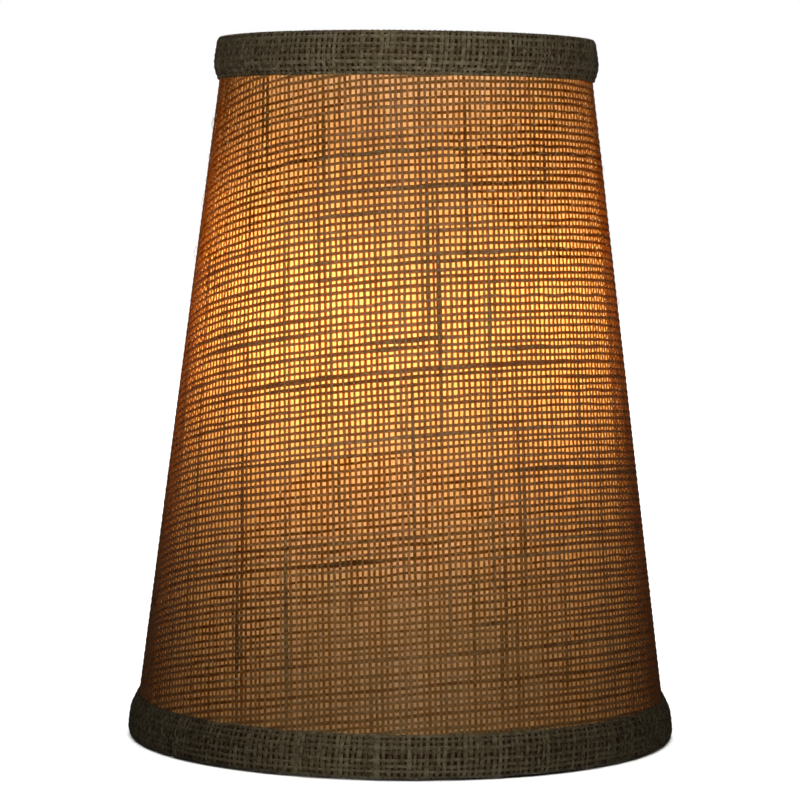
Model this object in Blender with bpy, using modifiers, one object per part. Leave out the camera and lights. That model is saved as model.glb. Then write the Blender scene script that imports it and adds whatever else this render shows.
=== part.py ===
"""Tapered round lamp shade: burlap on a styrene liner, two wire rings, folded trims and a bulb clip.

Metres, +Z up. The shade stands on its bottom rim at Z = 0, and its axis is the Z axis. The burlap's
side seam is at the back, at +Y. The clip's crossbar runs along X, and the clip tilts about it. The
two wire loops that grip the bulb hinge in the saddle's knuckles, one in front and one behind.
"""

import math

import bmesh
import bpy
from mathutils import Matrix, Vector

# Shade
HEIGHT = 0.2275
TOP_RADIUS = 0.0591  # burlap's outer surface in the plane of the top rim
BOTTOM_RADIUS = 0.08775  # the same in the plane of the bottom rim
BURLAP_THICKNESS = 0.0008
LINER_THICKNESS = 0.0005
SEAM_WIDTH = 0.012
SEAM_STEP = 0.0008  # how far the lapped edge stands out
SEAM_BITE = 0.0003  # how far the lap reaches into the burlap it is glued to
RING_WIRE_RADIUS = 0.0013
CLEARANCE = 0.0003  # between two pieces that touch
ROUND_STEPS = 72

# Trims: a tape folded over each rim, with a tall outer leaf and a short inner one
TRIM_HEIGHT = 0.0137
TRIM_INNER_HEIGHT = 0.0075
TRIM_FOLD = 0.0012  # thickness of the tape over the rim
TRIM_INNER_LEAF = 0.0009
TOP_TRIM_LEAF = 0.0022
BOTTOM_TRIM_LEAF = 0.0019
NOTCH_SIDE = 0.0008  # room in the inner leaf beside the crossbar

# Crossbar and its stop collars
BAR_WIRE_RADIUS = 0.0013
BAR_DROP = 0.034  # crossbar's middle below the top rim
BAR_FLAT = 0.036  # length of its level middle
BAR_END = 0.005  # length of the level end that is welded to the ring
BAR_BEND = 0.006
COLLAR_WALL = 0.0011
COLLAR_LENGTH = 0.0035

# Clip
SLEEVE_WALL = 0.0009
SADDLE_LENGTH = 0.013
SADDLE_WALL = 0.0009
SADDLE_PLATE = 0.0012
SLEEVE_PROUD = 0.0006  # how far the sleeve stands out of each end of the saddle
KNUCKLE_OFFSET = 0.008  # from the crossbar's axis to each loop's hinge
LOOP_WIRE_RADIUS = 0.0009
FERRULE_WALL = 0.0009
FERRULE_LENGTH = 0.008
SMALL_STEPS = 20

# Loops, sized for the bulb that they grip
BULB_RADIUS = 0.030
BULB_DROP = 0.053  # centre of the bulb's globe below the crossbar
LOOP_HALF_WIDTH = 0.018
LOOP_REACH = 0.084  # from the hinge to the loop's lower edge
LOOP_LEAN = math.radians(4)  # how far each loop closes past its grip on the bulb
LOOP_BEND_STEPS = 4

SLOPE = (BOTTOM_RADIUS - TOP_RADIUS) / HEIGHT
BAR_Z = HEIGHT - BAR_DROP
RING_INSET = TRIM_FOLD + CLEARANCE + RING_WIRE_RADIUS  # from a rim to the middle of its ring wire


def burlap_radius(z):
    return BOTTOM_RADIUS - SLOPE * z


def liner_radius(z):
    """The liner's outer surface."""
    return burlap_radius(z) - BURLAP_THICKNESS - CLEARANCE


def ring_radius(z):
    return liner_radius(z) - LINER_THICKNESS - CLEARANCE - RING_WIRE_RADIUS


def make_material(name, color, roughness, metallic=0.0):
    material = bpy.data.materials.new(name)
    material.use_nodes = True
    shader = material.node_tree.nodes["Principled BSDF"]
    shader.inputs["Base Color"].default_value = (*color, 1.0)
    shader.inputs["Roughness"].default_value = roughness
    shader.inputs["Metallic"].default_value = metallic
    return material


def add_object(name, data, collection, material=None):
    obj = bpy.data.objects.new(name, data)
    collection.objects.link(obj)
    if material:
        data.materials.append(material)
    return obj


def turned(name, profile, material, collection, steps=ROUND_STEPS):
    """Turns a closed (radius, z) outline about Z. The outline runs down its outer side."""
    mesh = bpy.data.meshes.new(name)
    count = len(profile)
    edges = [(i, (i + 1) % count) for i in range(count)]
    mesh.from_pydata([(radius, 0.0, z) for radius, z in profile], edges, [])
    obj = add_object(name, mesh, collection, material)
    screw = obj.modifiers.new("turn", "SCREW")
    screw.axis = "Z"
    screw.steps = steps
    screw.render_steps = steps
    screw.use_merge_vertices = True
    screw.merge_threshold = 0.00001
    return obj


def cone_shell(name, outer_radius, thickness, material, collection):
    """A conical sheet that reaches from the fold of one trim to the fold of the other."""
    low = TRIM_FOLD + CLEARANCE
    high = HEIGHT - TRIM_FOLD - CLEARANCE
    profile = [
        (outer_radius(high), high),
        (outer_radius(low), low),
        (outer_radius(low) - thickness, low),
        (outer_radius(high) - thickness, high),
    ]
    return turned(name, profile, material, collection)


def seam_lap(collection):
    """The burlap's lapped edge: a flat strip up the back, from just above one trim to just below the other."""
    low = TRIM_HEIGHT + CLEARANCE
    high = HEIGHT - TRIM_HEIGHT - CLEARANCE
    middle = (low + high) / 2
    length = (high - low) / math.cos(math.atan(SLOPE))
    mesh = bpy.data.meshes.new("seam_lap")
    strip = bmesh.new()
    bmesh.ops.create_cube(strip, size=1.0)
    bmesh.ops.scale(strip, vec=(SEAM_WIDTH, SEAM_BITE + SEAM_STEP, length), verts=strip.verts)
    strip.to_mesh(mesh)
    strip.free()
    obj = add_object("seam_lap", mesh, collection)
    obj.rotation_euler.x = math.atan(SLOPE)
    obj.location = (0.0, burlap_radius(middle) + (SEAM_STEP - SEAM_BITE) / 2, middle)
    return obj


def trim_profile(leaf, edge, up):
    """Outline of a trim that folds over the rim at z = edge. up is 1 where the trim rises from
    its rim, at the bottom of the shade, and -1 where it hangs from it, at the top."""

    def outer(height, share):
        z = edge + up * height
        return (burlap_radius(z) + CLEARANCE + share * leaf, z)

    ring_z = edge + up * RING_INSET
    inner_face = ring_radius(ring_z) - RING_WIRE_RADIUS - CLEARANCE

    def inner(height, depth):
        z = edge + up * height
        return (inner_face - SLOPE * (z - ring_z) - depth, z)

    outline = [
        outer(TRIM_HEIGHT, 0.0),
        outer(TRIM_HEIGHT, 0.2),
        outer(0.92 * TRIM_HEIGHT, 0.38),
        outer(0.80 * TRIM_HEIGHT, 0.65),
        outer(0.60 * TRIM_HEIGHT, 1.0),
        outer(0.25 * TRIM_HEIGHT, 0.97),
        outer(0.05 * TRIM_HEIGHT, 0.75),
        outer(0.0, 0.25),
        inner(0.0, 0.3 * TRIM_INNER_LEAF),
        inner(0.1 * TRIM_INNER_HEIGHT, TRIM_INNER_LEAF),
        inner(TRIM_INNER_HEIGHT, TRIM_INNER_LEAF),
        inner(TRIM_INNER_HEIGHT, 0.0),
        inner(TRIM_FOLD, 0.0),
        outer(TRIM_FOLD, 0.0),
    ]
    return outline if up > 0 else outline[::-1]


def ring(name, z, material, collection):
    bpy.ops.mesh.primitive_torus_add(
        major_radius=ring_radius(z),
        minor_radius=RING_WIRE_RADIUS,
        major_segments=ROUND_STEPS,
        minor_segments=8,
        location=(0.0, 0.0, z),
    )
    obj = bpy.context.object
    obj.name = name
    obj.data.name = name
    obj.data.shade_smooth()
    obj.data.materials.append(material)
    for owner in list(obj.users_collection):
        owner.objects.unlink(obj)
    collection.objects.link(obj)
    return obj


def cut_notches(trim, collection):
    """Opens the top trim's inner leaf where the crossbar's two ends come through to the ring."""
    ring_z = HEIGHT - RING_INSET
    outer_x = ring_radius(ring_z)
    inner_x = outer_x - RING_WIRE_RADIUS - 4 * TRIM_INNER_LEAF
    top = ring_z + BAR_WIRE_RADIUS + CLEARANCE
    bottom = HEIGHT - 1.5 * TRIM_INNER_HEIGHT
    size = (outer_x - inner_x, 2 * (BAR_WIRE_RADIUS + NOTCH_SIDE), top - bottom)
    for side, word in ((-1, "left"), (1, "right")):
        mesh = bpy.data.meshes.new(f"notch_{word}")
        box = bmesh.new()
        bmesh.ops.create_cube(box, size=1.0)
        bmesh.ops.scale(box, vec=size, verts=box.verts)
        box.to_mesh(mesh)
        box.free()
        cutter = add_object(f"notch_{word}", mesh, collection)
        cutter.location = (side * (outer_x + inner_x) / 2, 0.0, (top + bottom) / 2)
        cut = trim.modifiers.new(f"notch {word}", "BOOLEAN")
        cut.operation = "DIFFERENCE"
        cut.object = cutter


def wire(name, points, radius, material, collection, cyclic=False):
    curve = bpy.data.curves.new(name, "CURVE")
    curve.dimensions = "3D"
    curve.bevel_depth = radius
    curve.bevel_resolution = 2
    curve.use_fill_caps = True
    spline = curve.splines.new("POLY")
    spline.points.add(len(points) - 1)
    for point, place in zip(spline.points, points):
        point.co = (*place, 1.0)
    spline.use_cyclic_u = cyclic
    return add_object(name, curve, collection, material)


def rounded_path(corners, cut, steps=4):
    """The polyline through the corners, with each inner corner replaced by a curve that starts cut before it."""
    path = [corners[0]]
    for before, corner, after in zip(corners, corners[1:], corners[2:]):
        start = corner + (before - corner).normalized() * cut
        end = corner + (after - corner).normalized() * cut
        for i in range(steps + 1):
            t = i / steps
            path.append(start.lerp(corner, t).lerp(corner.lerp(end, t), t))
    path.append(corners[-1])
    return path


def smooth_path(points, first_tangent, last_tangent, steps):
    """A cubic curve through the points, which leaves the first and meets the last along the tangents."""
    inner = [(after - before) / 2 for before, after in zip(points, points[2:])]
    tangents = [first_tangent, *inner, last_tangent]
    path = []
    for start, end, leave, meet in zip(points, points[1:], tangents, tangents[1:]):
        for i in range(steps):
            t = i / steps
            path.append(
                start * (2 * t**3 - 3 * t**2 + 1)
                + leave * (t**3 - 2 * t**2 + t)
                + end * (3 * t**2 - 2 * t**3)
                + meet * (t**3 - t**2)
            )
    path.append(points[-1])
    return path


def crossbar_path():
    ring_z = HEIGHT - RING_INSET
    end_x = ring_radius(ring_z) - RING_WIRE_RADIUS - CLEARANCE
    half = [
        Vector((BAR_FLAT / 2, 0.0, BAR_Z)),
        Vector((end_x - BAR_END, 0.0, ring_z)),
        Vector((end_x, 0.0, ring_z)),
    ]
    mirrored = [Vector((-point.x, point.y, point.z)) for point in reversed(half)]
    return rounded_path(mirrored + half, min(BAR_BEND, BAR_END / 2))


def tube(name, bore_radius, wall, length, center, material, collection):
    """A plain tube along X."""
    profile = [
        (bore_radius + wall, length / 2),
        (bore_radius + wall, -length / 2),
        (bore_radius, -length / 2),
        (bore_radius, length / 2),
    ]
    obj = turned(name, profile, material, collection, SMALL_STEPS)
    obj.rotation_euler = (0.0, math.pi / 2, 0.0)
    obj.location = center
    return obj


def arc(center_x, radius, start, end, steps):
    angles = (start + (end - start) * i / steps for i in range(steps + 1))
    return [(center_x + radius * math.cos(a), radius * math.sin(a)) for a in angles]


def saddle(material, collection):
    """A folded steel strap: an eye round the sleeve, and a knuckle on each side for a loop."""
    sleeve_hole = BAR_WIRE_RADIUS + SLEEVE_WALL + 2 * CLEARANCE
    knuckle_hole = LOOP_WIRE_RADIUS + CLEARANCE
    eye = sleeve_hole + SADDLE_WALL
    knuckle = knuckle_hole + SADDLE_WALL
    eye_angle = math.asin(SADDLE_PLATE / 2 / eye)
    knuckle_angle = math.asin(SADDLE_PLATE / 2 / knuckle)
    steps = SMALL_STEPS // 2
    turn = math.pi
    outline = arc(KNUCKLE_OFFSET, knuckle, knuckle_angle - turn, turn - knuckle_angle, SMALL_STEPS)
    outline += arc(0.0, eye, eye_angle, turn - eye_angle, steps)
    outline += arc(-KNUCKLE_OFFSET, knuckle, knuckle_angle, 2 * turn - knuckle_angle, SMALL_STEPS)
    outline += arc(0.0, eye, turn + eye_angle, 2 * turn - eye_angle, steps)
    holes = [(0.0, sleeve_hole), (KNUCKLE_OFFSET, knuckle_hole), (-KNUCKLE_OFFSET, knuckle_hole)]

    curve = bpy.data.curves.new("clip_saddle", "CURVE")
    curve.dimensions = "2D"
    curve.fill_mode = "BOTH"
    curve.extrude = SADDLE_LENGTH / 2
    for points in [outline] + [arc(x, radius, 0.0, 2 * turn, SMALL_STEPS)[:-1] for x, radius in holes]:
        spline = curve.splines.new("POLY")
        spline.points.add(len(points) - 1)
        for point, (x, y) in zip(spline.points, points):
            point.co = (x, y, 0.0, 1.0)
        spline.use_cyclic_u = True
    obj = add_object("clip_saddle", curve, collection, material)
    obj.rotation_euler = (math.pi / 2, 0.0, math.pi / 2)
    obj.location = (0.0, 0.0, BAR_Z)
    return obj


def loop_path():
    """One loop about its hinge at the origin, opening towards +Y, with its lean taken off."""
    grip_y = math.sqrt(BULB_RADIUS**2 - LOOP_HALF_WIDTH**2) + LOOP_WIRE_RADIUS - KNUCKLE_OFFSET
    top_x = SADDLE_LENGTH / 2 + 2 * LOOP_WIRE_RADIUS
    foot_x = FERRULE_LENGTH / 2 + 2 * LOOP_WIRE_RADIUS
    side = [
        Vector((top_x, 0.0, 0.0)),
        Vector((top_x + 0.0022, 0.0008, -0.0026)),
        Vector((0.66 * LOOP_HALF_WIDTH, 0.30 * grip_y, -0.27 * BULB_DROP)),
        Vector((0.90 * LOOP_HALF_WIDTH, 0.68 * grip_y, -0.53 * BULB_DROP)),
        Vector((LOOP_HALF_WIDTH, 0.92 * grip_y, -0.77 * BULB_DROP)),
        Vector((LOOP_HALF_WIDTH, grip_y, -BULB_DROP)),
        Vector((0.95 * LOOP_HALF_WIDTH, 0.88 * grip_y, -0.77 * LOOP_REACH)),
        Vector((0.74 * LOOP_HALF_WIDTH, 0.74 * grip_y, -0.92 * LOOP_REACH)),
        Vector((foot_x, 0.77 * grip_y, -LOOP_REACH)),
    ]
    right = smooth_path(side, Vector((0.004, 0, 0)), Vector((-0.006, 0, 0)), LOOP_BEND_STEPS)
    left = [Vector((-point.x, point.y, point.z)) for point in reversed(right)]
    return right + left


def add_loop(name, side, material, ferrule_material, collection):
    """side is 1 for the loop behind the bulb and -1 for the one in front."""
    close = Matrix.Rotation(-LOOP_LEAN, 4, "X")
    mirror = Matrix.Diagonal((1.0, side, 1.0, 1.0))
    hinge = Vector((0.0, side * KNUCKLE_OFFSET, BAR_Z))
    path = [mirror @ close @ point for point in loop_path()]
    loop = wire(name, path, LOOP_WIRE_RADIUS, material, collection, cyclic=True)
    loop.location = hinge
    foot = min(path, key=lambda point: point.z)
    tube(
        f"{name}_ferrule",
        LOOP_WIRE_RADIUS + CLEARANCE,
        FERRULE_WALL,
        FERRULE_LENGTH,
        hinge + Vector((0.0, foot.y, foot.z)),
        ferrule_material,
        collection,
    )
    return loop


def main():
    for obj in list(bpy.data.objects):
        bpy.data.objects.remove(obj)
    shade = bpy.data.collections.new("lamp_shade")
    cutters = bpy.data.collections.new("cutters")
    for collection in (shade, cutters):
        bpy.context.scene.collection.children.link(collection)

    burlap = make_material("burlap", (0.24, 0.17, 0.10), 0.9)
    trim_cloth = make_material("trim_cloth", (0.085, 0.075, 0.050), 0.9)
    styrene = make_material("styrene", (0.85, 0.83, 0.76), 0.45)
    ring_wire = make_material("ring_wire", (0.55, 0.55, 0.54), 0.4, 1.0)
    clip_wire = make_material("clip_wire", (0.72, 0.70, 0.66), 0.3, 1.0)
    brass = make_material("brass", (0.75, 0.58, 0.30), 0.35, 1.0)

    cover = cone_shell("burlap_cover", burlap_radius, BURLAP_THICKNESS, burlap, shade)
    lap = cover.modifiers.new("seam", "BOOLEAN")
    lap.operation = "UNION"
    lap.object = seam_lap(cutters)
    cone_shell("styrene_liner", liner_radius, LINER_THICKNESS, styrene, shade)
    ring("top_ring", HEIGHT - RING_INSET, ring_wire, shade)
    ring("bottom_ring", RING_INSET, ring_wire, shade)
    top_trim = turned("top_trim", trim_profile(TOP_TRIM_LEAF, HEIGHT, -1), trim_cloth, shade)
    cut_notches(top_trim, cutters)
    turned("bottom_trim", trim_profile(BOTTOM_TRIM_LEAF, 0.0, 1), trim_cloth, shade)

    wire("crossbar", crossbar_path(), BAR_WIRE_RADIUS, ring_wire, shade)
    bar_bore = BAR_WIRE_RADIUS + CLEARANCE
    sleeve_length = SADDLE_LENGTH + 2 * SLEEVE_PROUD
    middle = Vector((0.0, 0.0, BAR_Z))
    tube("pivot_sleeve", bar_bore, SLEEVE_WALL, sleeve_length, middle, brass, shade)
    collar_x = sleeve_length / 2 + CLEARANCE + COLLAR_LENGTH / 2
    for side, word in ((-1, "left"), (1, "right")):
        center = middle + Vector((side * collar_x, 0.0, 0.0))
        tube(f"stop_collar_{word}", bar_bore, COLLAR_WALL, COLLAR_LENGTH, center, brass, shade)
    saddle(clip_wire, shade)
    add_loop("loop_front", -1, clip_wire, brass, shade)
    add_loop("loop_rear", 1, clip_wire, brass, shade)

    for helper in cutters.objects:
        helper.hide_render = True
        helper.display_type = "WIRE"


main()
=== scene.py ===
"""Looks of the tapered burlap lamp shade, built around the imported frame.

Metres, +Z up. An azimuth is measured from the front, -Y, towards +X. The burlap and the trims are
woven yarn by yarn: the burlap in the flat, where its cone is unrolled, and each trim along the
outline of its fold. The lamp inside lights the liner from within, so the gaps in the weave glow, and
a narrow strip light in front, with one behind, lights the cloth from outside.
"""

import math

import bmesh
import bpy
import numpy as np
from mathutils import Matrix, Vector


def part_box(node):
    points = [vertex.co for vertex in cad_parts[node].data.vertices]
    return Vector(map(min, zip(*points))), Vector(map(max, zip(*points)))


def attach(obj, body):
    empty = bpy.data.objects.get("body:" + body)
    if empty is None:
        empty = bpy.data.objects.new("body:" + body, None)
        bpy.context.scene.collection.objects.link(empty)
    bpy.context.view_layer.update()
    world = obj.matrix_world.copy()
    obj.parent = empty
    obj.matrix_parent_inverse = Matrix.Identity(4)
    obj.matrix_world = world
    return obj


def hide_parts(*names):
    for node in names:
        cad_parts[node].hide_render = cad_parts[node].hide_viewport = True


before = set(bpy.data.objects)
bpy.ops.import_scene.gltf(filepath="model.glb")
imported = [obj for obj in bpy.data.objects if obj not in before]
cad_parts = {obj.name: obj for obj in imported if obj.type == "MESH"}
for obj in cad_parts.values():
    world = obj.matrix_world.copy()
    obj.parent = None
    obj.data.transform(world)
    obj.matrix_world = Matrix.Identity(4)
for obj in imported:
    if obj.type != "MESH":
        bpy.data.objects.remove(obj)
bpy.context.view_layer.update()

MM = 0.001
TOUCH = 0.01 * MM  # points that are closer than this are level, or the same
FULL_TURN = 2 * math.pi
BURLAP_SEED = 7
TOP_TRIM_SEED = 8
BOTTOM_TRIM_SEED = 9
STRAY_SEED = 12

# Burlap
GRAIN_AZIMUTH = math.radians(12)  # where the warp runs straight up the cone
WEFT_SKEW = math.radians(3.5)  # how far the weft is off square to the warp
WARP_PITCH = 1.83 * MM
WEFT_PITCH_LOW = 2.19 * MM  # in the lower half of the shade
WEFT_PITCH_HIGH = 2.34 * MM  # in the upper half
WEFT_PITCH_CHANGE = 30 * MM  # how far from mid height the pitch has changed over
WARP_PITCH_JITTER = 0.07
WEFT_PITCH_JITTER = 0.056
WARP_HALF_WIDTH = 0.45 * MM
WEFT_HALF_WIDTH = 0.52 * MM
WARP_THICKNESS = 0.26 * MM
WEFT_THICKNESS = 0.24 * MM
WARP_CRIMP = 0.16 * MM  # how far a yarn rises and falls as it passes over and under
WEFT_CRIMP = 0.14 * MM
WARP_LOOSE = (0.2, 1.1)  # how open the yarn is at its middle and at its sides
WEFT_LOOSE = (0.05, 0.85)
WARP_DEPTH = 0.48 * MM  # middle of the warp below the burlap's outer surface
WEFT_DEPTH = 0.43 * MM
TUCK = 3.0 * MM  # how far the yarns run on under each trim
MIDDLE_TONE = 0.5
PAINTED_CREST_SHADING = 0.22  # painted highlight where a yarn passes over and painted shade where it dives: how much paler and darker its tone is made

# How far yarns stray from their line: lengths of the waves, and their height
WARP_STRAY = ((0.019, 0.043, 0.110), 0.10 * MM)
WEFT_STRAY = ((0.016, 0.037, 0.090), 0.13 * MM)
COLUMN_STRAY = ((0.009, 0.02), 0.14 * MM)
ROW_STRAY = ((0.012, 0.031, 0.08), 0.16 * MM)
DRIFT = 0.35 * MM  # slower, and shared by neighbouring wefts
DRIFT_LENGTHS = (0.021, 0.05, 0.034)  # along the weft, of its own bend, and across the wefts

# How size and tone differ: from yarn to yarn, then along a yarn as waves of these lengths and height
WARP_SIZE = (0.08, (0.011, 0.027), 0.07)
WEFT_SIZE = (0.10, (0.009, 0.031), 0.09)
WARP_TONE = (0.12, (0.006, 0.021, 0.06), 0.12)
WEFT_TONE = (0.14, (0.007, 0.025, 0.07), 0.14)
COLUMN_SIZE = (0.16, (0.006, 0.014), 0.14)
COLUMN_TONE = (0.12, (0.004, 0.011), 0.18)
ROW_SIZE = (0.12, (0.007, 0.022), 0.14)
ROW_TONE = (0.10, (0.005, 0.018), 0.18)

# Slubs, where a yarn was spun thick and dark: half length in millimetres, and how much thicker.
# The listed ones are: which yarn, azimuth in degrees, height, half length, how much thicker
WARP_SLUBS = 260
WEFT_SLUBS = 170
WARP_SLUB_LENGTHS = (4, 40)
WEFT_SLUB_LENGTHS = (4, 60)
WARP_SLUB_SIZES = (0.15, 0.6)
WEFT_SLUB_SIZES = (0.1, 0.45)
SLUB_DARK = 0.32
SLUB_SOLID = 1.3  # how much less light passes through them
SLUB_SOLID_MOST = 0.85
CHOSEN_SLUBS = (
    ("weft", 1, 132, 13, 0.75),
    ("weft", -4, 131, 5, 0.5),
    ("warp", -18, 114, 90, 0.35),
    ("warp", 6, 168, 14, 0.6),
    ("warp", 6, 145, 9, 0.6),
    ("warp", 17.5, 182, 30, 0.5),
    ("warp", 17, 136, 16, 0.3),
    ("warp", -38, 39, 26, 0.75),
    ("warp", -44, 201, 14, 0.6),
    ("warp", 10.5, 51, 20, 0.45),
    ("warp", -26, 53, 30, 0.4),
    ("weft", -44, 130, 22, 0.5),
    ("weft", 26, 160, 30, 0.5),
    ("weft", -10, 190, 60, 0.55),
    ("weft", 10, 181, 45, 0.5),
    ("weft", 35, 131, 30, 0.5),
    ("weft", -30, 119, 22, 0.45),
    ("weft", -12, 64, 10, 0.6),
    ("warp", 29, 79, 24, 0.4),
    ("warp", 3, 78, 26, 0.35),
    ("weft", 19.5, 47, 6, 0.6),
    ("warp", -23.5, 193, 12, 0.45),
    ("warp", -48, 168, 14, 0.4),
    ("weft", 40, 93, 26, 0.55),
    ("weft", 30, 66, 16, 0.35),
)

# Burlap's side seam, at the back
SEAM_HALF_WIDTH = 6.0 * MM
SEAM_LIFT = 0.9 * MM
SEAM_TURN_LIFT = 0.45 * MM  # of the part that is turned under
SEAM_TURN = 4.5 * MM  # length turned under
SEAM_RAMP = 2.0 * MM

# Loose fibres on the burlap, and knots of them. Lengths and rises are in millimetres
STRAYS = 420
STRAY_POINTS = 7
STRAY_HALF_WIDTH = 0.055 * MM
STRAY_TAPER = 0.6  # how much of its width a fibre loses towards its end
STRAY_LENGTHS = (1.5, 6.0)
STRAY_RISES = (0.1, 0.7)
STRAY_TONES = (0.2, 0.9)
STRAY_BAND = (0.07, 0.93)  # shares of the height between which they lie
STRAY_CURL = 0.9
KNOT_FIBRES = 14
KNOT_LENGTHS = (1.0, 2.2)
KNOT_SCATTER = 0.5 * MM
# azimuth in degrees, height
KNOTS = ((-6.7, 77.5), (-10.2, 64.0), (70, 120), (128, 60), (171, 150), (-120, 95), (-75, 45))

# Trims. Columns run across the tape, from edge to edge, and rows run along it, round the rim
TRIM_PITCH = 1.85 * MM
TRIM_COLUMN_JITTER = 0.12
TRIM_ROW_JITTER = 0.09
TRIM_COLUMN_HALF_WIDTH = 0.60 * MM
TRIM_ROW_HALF_WIDTH = 0.50 * MM
TRIM_YARN = 0.26 * MM
TRIM_CRIMP = 0.17 * MM
TRIM_FINE = 2  # points along a yarn for each yarn that it crosses
TRIM_SKEW = math.radians(7)  # lean of the tape's short yarns
TRIM_SKEW_CHANGE = 0.8  # how much the lean changes round the rim
TRIM_EDGE_LIFT = 0.25 * MM  # middle of the tape's weave above the burlap at the tape's edge
TRIM_DEPTH = 0.42 * MM  # middle of the tape's weave below the CAD trim's surface
TRIM_BACKING = 0.45 * MM  # backing below the middle of the weave
TRIM_LAP = 10.0 * MM
TRIM_LAP_LIFT = 0.35 * MM
TRIM_LAP_RAMP = 1.0 * MM  # each side of the lap's edge
TRIM_INNER_HEIGHT = 7.5 * MM
TRIM_INNER_DEPTH = 0.5 * MM  # from the ring's inner side to the tape's inner edge, towards the axis
BOTTOM_CLEARANCE = 0.35 * MM  # keeps the bottom tape's lap off the floor

# Liner
LINER_THICKNESS = 0.5 * MM
LINER_LEVELS = 24
SMOOTH_TURNS = 180  # faces round the liner and round each trim's backing

# Section of a yarn: share of its half width across, share of its thickness outwards
ROOF = ((-1.0, -0.6), (0.0, 1.0), (1.0, -0.6))
ROUND = ((-1.0, -0.8), (-0.72, 0.35), (0.0, 1.0), (0.72, 0.35), (1.0, -0.8))

# Wires that are rounded off: how readily two triangles become a quad, how often each quad is
# divided, and then each wire's node, body and material slot
QUAD_FACE_ANGLE = 0.6
QUAD_SHAPE_ANGLE = 1.2
WIRE_LEVELS = 2
WIRES = (
    ("crossbar", "shade", "ring_wire"),
    ("loop_front", "front_grip", "clip_wire"),
    ("loop_rear", "rear_grip", "clip_wire"),
)

# Yarn colours, dark to light, then the light that passes through, at the core and at the edges
JUTE = {
    "dark": (0.085, 0.062, 0.031), "middle": (0.225, 0.178, 0.094), "light": (0.37, 0.31, 0.185),
    "glow": (0.60, 0.262, 0.052), "core_share": 0.09, "edge_share": 0.48,
}
TAPE = {
    "dark": (0.08, 0.063, 0.040), "middle": (0.20, 0.172, 0.107), "light": (0.33, 0.30, 0.20),
    "glow": (0.3, 0.12, 0.05), "core_share": 0.03, "edge_share": 0.08,
}
FIBRE_SHIFT = 0.37  # along the pattern of fibres, from yarn to yarn, so that no two look alike
FIBRE_STREAK = 0.55  # how much tone changes from fibre to fibre
FIBRE_MOTTLE = 1.3  # and from patch to patch

# Metals: dull colour, bright colour and roughness
METALS = {
    "ring_wire": ((0.42, 0.42, 0.41), (0.62, 0.62, 0.60), 0.38),
    "clip_wire": ((0.60, 0.58, 0.54), (0.80, 0.78, 0.74), 0.28),
    "brass": ((0.62, 0.45, 0.20), (0.83, 0.65, 0.34), 0.30),
}

# Lamp inside the shade
LAMP_COLOR = (1.0, 0.51, 0.145)
LAMP_HEIGHT = 0.140
LAMP_RADIUS = 0.016
GLOW_POWER = 0.52  # sent all round
BEAM_BLEND = 0.8
BEAMS = (  # azimuth, drop for each unit outwards, spread in degrees, power
    (-21, 0.16, 70, 0.40),
    (-42, 0.10, 92, 0.29),
    (34, 0.16, 80, 0.36),
    (148, 0.12, 100, 0.38),
    (210, 0.12, 100, 0.38),
    (272, -0.05, 110, 0.19),
    (-4, 1.35, 70, 0.30),
    (184, 1.2, 70, 0.22),
    (-68, -1.0, 90, 0.19),
    (58, -1.0, 90, 0.18),
    (180, -1.0, 90, 0.16),
)

# Studio: gridded strip lights, so that the shade darkens to its sides, and a white surround
STRIP_COLOR = (1.0, 0.92, 0.80)
STRIP_POWER = 0.078
STRIP_SPREAD = math.radians(14)
STRIP_SIZE = (0.05, 0.38)
STRIP_DISTANCE = 0.93
STRIP_HEIGHT = 0.34
STRIP_AIM = (0.0, 0.0, 0.168)
WHITE = (1.0, 1.0, 1.0)
SURROUND_LIGHT = 0.01  # what it sends onto the object
MIRRORED_COLOR = (1.0, 0.97, 0.92)  # what shows in the metal
MIRRORED_LIGHT = 0.3
FLOOR_SIZE = 8.0
FLOOR_COLOR = (0.9, 0.9, 0.89)
FLOOR_WASH = 5.0
FLOOR_WASH_HEIGHT = 3.0
FLOOR_WASH_ANGLE = math.radians(60)

CAMERA_PLACE = Vector((-0.00105, -1.047, 0.1785))
CAMERA_PITCH = math.radians(3.76)
CAMERA_ROLL = math.radians(0.52)
CAMERA_LENS = 144.0
CAMERA_REACH = 100.0


# ---------------------------------------------------------------- surfaces


def node_points(name):
    """A CAD node's vertices as an array."""
    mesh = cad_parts[name].data
    points = np.empty(len(mesh.vertices) * 3)
    mesh.vertices.foreach_get("co", points)
    return points.reshape(-1, 3)


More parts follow.
